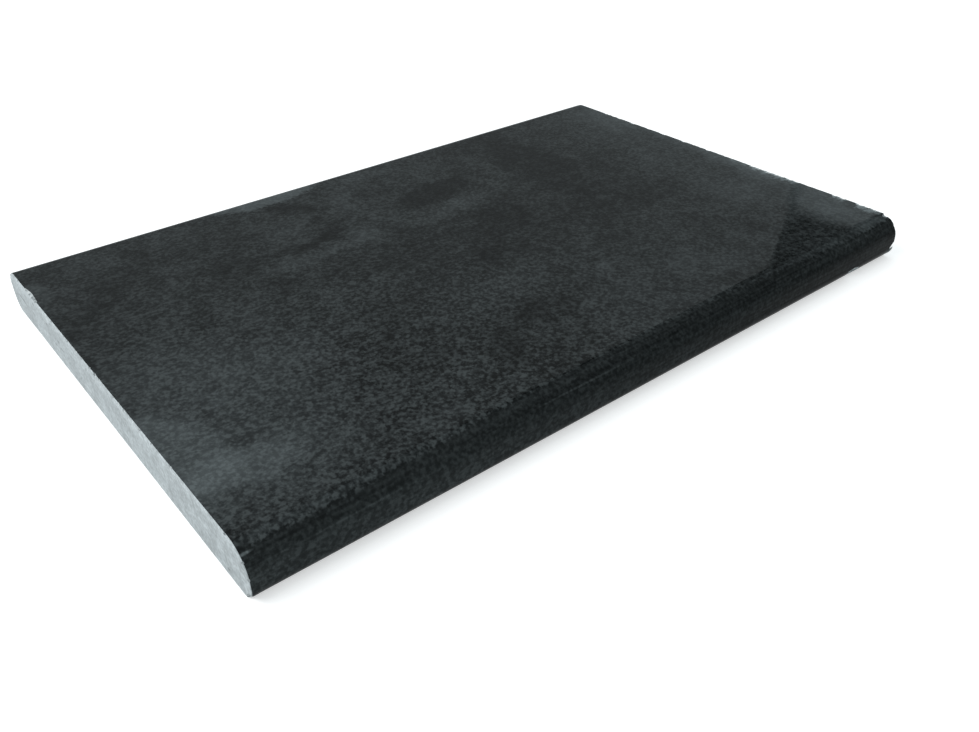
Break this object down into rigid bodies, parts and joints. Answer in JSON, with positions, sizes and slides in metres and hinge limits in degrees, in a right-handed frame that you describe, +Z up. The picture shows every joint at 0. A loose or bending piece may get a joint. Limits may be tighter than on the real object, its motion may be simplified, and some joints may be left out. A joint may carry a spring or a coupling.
{
  "type": "pool coping stone",
  "caption": "Rectangular granite pool coping slab, laid flat, with both long edges rounded to a nose and both short ends sawn square.",
  "frame": {"origin": "centre of the slab's underside, on the bed that it is laid on", "axes": "+X along the long nosed edges from one sawn end to the other, +Y across the slab from nose to nose, +Z up through the thickness to the walking face"},
  "size_m": [0.5, 0.33, 0.03],
  "materials": {
    "granite": "dark fine-grained granite, honed to a soft polish on the top and the noses, pale grey as sawn on the ends and the underside"
  },
  "bodies": {
    "root": {"coping_stone": "granite"}
  },
  "joints": []
}
